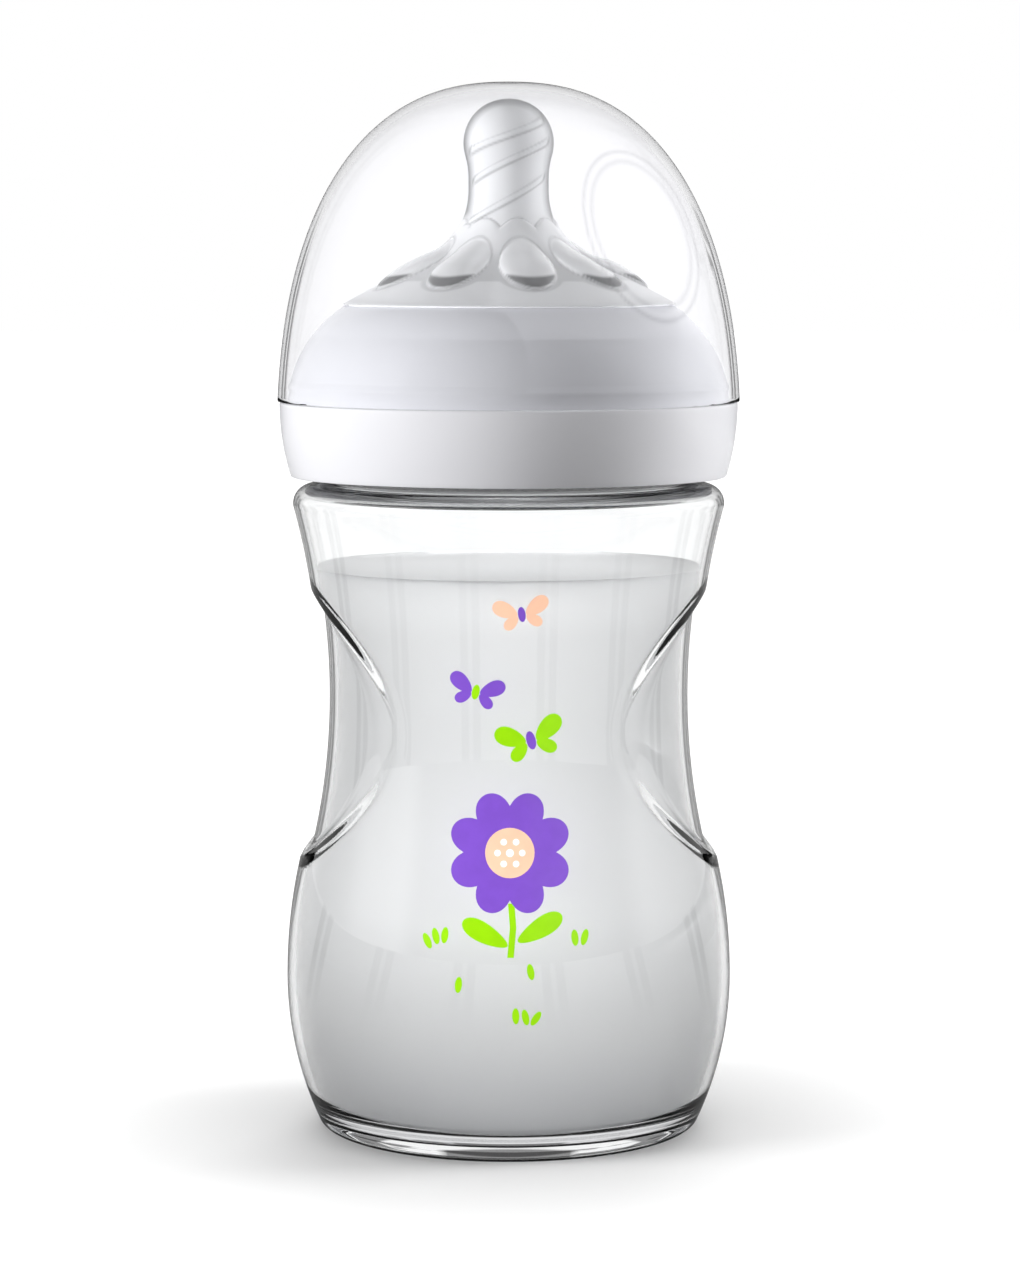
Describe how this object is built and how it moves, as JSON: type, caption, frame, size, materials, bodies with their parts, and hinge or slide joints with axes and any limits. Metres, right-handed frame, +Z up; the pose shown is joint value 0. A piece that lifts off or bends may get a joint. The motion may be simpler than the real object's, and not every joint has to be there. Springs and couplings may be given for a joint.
{
  "type": "baby bottle",
  "caption": "Wide-neck clear baby bottle with side grips, white screw ring, soft silicone teat with petals, and clear push-on dome cap.",
  "frame": {"origin": "centre of the base, on the surface the bottle stands on", "axes": "+Z up along the bottle's axis; the grips face +X and -X; the printed front faces -Y"},
  "size_m": [0.074, 0.074, 0.1679],
  "materials": {
    "clear_body": "clear, polished, colourless",
    "ring_white": "smooth satin-gloss white",
    "silicone": "translucent silicone, satin stem and glossy petals",
    "clear_cap": "clear, polished, thin"
  },
  "bodies": {
    "bottle": {"bottle": "clear_body"},
    "teat": {"teat": "silicone"},
    "ring": {"screw_ring": "ring_white"},
    "cap": {"dome_cap": "clear_cap"}
  },
  "joints": [
    {"name": "teat_lift", "type": "slide", "parent": "bottle", "child": "teat", "axis": [0, 0, 1], "range_m": [0, 0.0225]},
    {"name": "ring_turn", "type": "hinge", "parent": "teat", "child": "ring", "pos_m": [0, 0, 0.11], "axis": [0, 0, 1], "range_deg": [0, 1260]},
    {"name": "cap_lift", "type": "slide", "parent": "ring", "child": "cap", "axis": [0, 0, 1], "range_m": [0, 0.06]}
  ],
  "couplings": [
    {"joint": "teat_lift", "follows": "ring_turn", "m_per_rad": 0.00095493}
  ]
}
